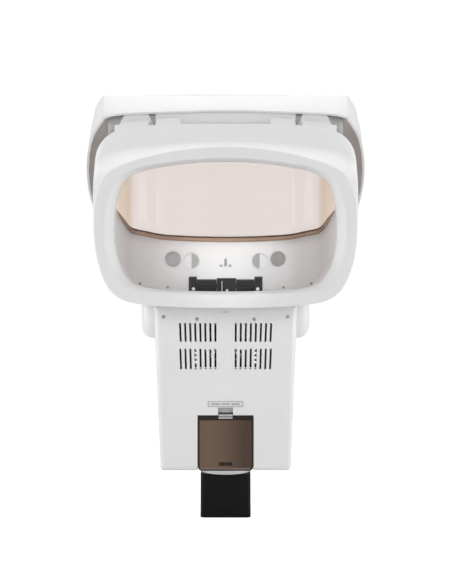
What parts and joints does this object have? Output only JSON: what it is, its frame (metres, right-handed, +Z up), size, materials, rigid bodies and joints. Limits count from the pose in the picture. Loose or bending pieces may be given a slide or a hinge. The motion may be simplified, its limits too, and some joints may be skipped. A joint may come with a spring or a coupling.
{
  "type": "salon hood hair dryer head",
  "caption": "Salon hood hair dryer head: wide mist and warm-air hood with a lift-up amber lid, on a swivelling box with a pull-out water tank, atop a column.",
  "frame": {"origin": "centre of the column's bottom end face", "axes": "+Z up, the hood opens towards -Y, +X to the right seen from the front"},
  "size_m": [0.4728, 0.348, 0.7426],
  "materials": {
    "white_plastic": "fine satin gloss",
    "black_plastic": "fine texture",
    "column_black": "semi-matt black powder coat",
    "amber_sheet": "clear amber tinted moulding",
    "amber_edge": "thick amber edge",
    "smoke_sheet": "clear smoke brown moulding",
    "display_glass": "dark window",
    "steel": "plain zinc plated",
    "screw_steel": "plain",
    "bush_plastic": "natural",
    "friction": "fibre",
    "rubber": "soft",
    "board_green": "coated board",
    "transformer": "varnished",
    "caption_foil": "satin"
  },
  "bodies": {
    "post": {"column": "column_black", "column_end_plate": "steel", "column_screws": "screw_steel", "bearing_block": "steel", "swivel_bush": "bush_plastic"},
    "head": {"swivel_spigot": "steel", "spigot_retainer": "steel", "spigot_screws": "screw_steel", "collar": "white_plastic", "chassis": "steel", "bottom_tray": "white_plastic", "front_panel": "white_plastic", "panel_screws": "screw_steel", "caption_plate": "caption_foil", "rear_casing": "white_plastic", "casing_screws": "screw_steel", "tilt_shafts": "steel", "friction_washers": "friction", "tank_bay": "white_plastic", "valve_socket": "white_plastic", "boiler": "steel", "boiler_element": "steel", "steam_pipe": "rubber", "fan_frame": "black_plastic", "control_board": "board_green", "transformer": "transformer", "mains_inlet": "black_plastic", "switch_frame": "black_plastic"},
    "fan": {"fan_rotor": "black_plastic"},
    "rocker": {"power_rocker": "black_plastic"},
    "tank": {"water_tank": "smoke_sheet", "tank_valve": "bush_plastic"},
    "cap": {"tank_cap": "black_plastic"},
    "hood": {"bezel_ring": "white_plastic", "hood_shell": "white_plastic", "inner_liner": "white_plastic", "rim_seal": "rubber", "carrier": "steel", "tilt_bushes": "bush_plastic", "pivot_covers": "white_plastic", "steam_hose": "rubber", "mist_manifold": "white_plastic", "port_baffles": "white_plastic", "temperature_probe": "steel", "liner_screws": "screw_steel", "nozzle_carrier": "black_plastic", "nozzle_pegs": "white_plastic", "lid_pivot_pins": "steel", "control_panel": "black_plastic", "display_window": "display_glass", "panel_board": "board_green"},
    "left_nozzle": {"nozzle_left": "black_plastic"},
    "right_nozzle": {"nozzle_right": "black_plastic"},
    "lid": {"lid_frame": "white_plastic", "visor": "amber_sheet", "visor_rim": "amber_edge"},
    "knob": {"timer_knob": "black_plastic"},
    "start_button": {"button_start": "white_plastic"},
    "mode_button": {"button_mode": "white_plastic"}
  },
  "joints": [
    {"name": "head_swivel", "type": "hinge", "parent": "post", "child": "head", "pos_m": [0, 0, 0], "axis": [0, 0, 1], "range_deg": [-60, 60]},
    {"name": "hood_tilt", "type": "hinge", "parent": "head", "child": "hood", "pos_m": [0, 0.01, 0.362], "axis": [-1, 0, 0], "range_deg": [0, 15]},
    {"name": "lid_lift", "type": "hinge", "parent": "hood", "child": "lid", "pos_m": [0, 0.075, 0.495], "axis": [-1, 0, 0], "range_deg": [0, 55]},
    {"name": "tank_pull", "type": "slide", "parent": "head", "child": "tank", "axis": [0, -1, 0], "range_m": [0, 0.15]},
    {"name": "cap_turn", "type": "hinge", "parent": "tank", "child": "cap", "pos_m": [0, -0.065, 0.19], "axis": [0, 0, 1], "range_deg": [0, 90]},
    {"name": "fan_spin", "type": "hinge", "parent": "head", "child": "fan", "pos_m": [0, -0.097, 0.327], "axis": [0, 1, 0], "continuous": true},
    {"name": "rocker_press", "type": "hinge", "parent": "head", "child": "rocker", "pos_m": [0.049, 0.11, 0.137], "axis": [-1, 0, 0], "range_deg": [0, 12]},
    {"name": "left_nozzle_aim", "type": "hinge", "parent": "hood", "child": "left_nozzle", "pos_m": [-0.0345, 0, 0.419], "axis": [-1, 0, 0], "range_deg": [-15, 30]},
    {"name": "right_nozzle_aim", "type": "hinge", "parent": "hood", "child": "right_nozzle", "pos_m": [0.036, 0, 0.419], "axis": [-1, 0, 0], "range_deg": [-15, 30]},
    {"name": "knob_turn", "type": "hinge", "parent": "hood", "child": "knob", "pos_m": [0.066, 0.11, 0.447], "axis": [0, 1, 0], "range_deg": [0, 270]},
    {"name": "start_press", "type": "slide", "parent": "hood", "child": "start_button", "axis": [0, -1, 0], "range_m": [0, 0.0015]},
    {"name": "mode_press", "type": "slide", "parent": "hood", "child": "mode_button", "axis": [0, -1, 0], "range_m": [0, 0.0015]}
  ]
}
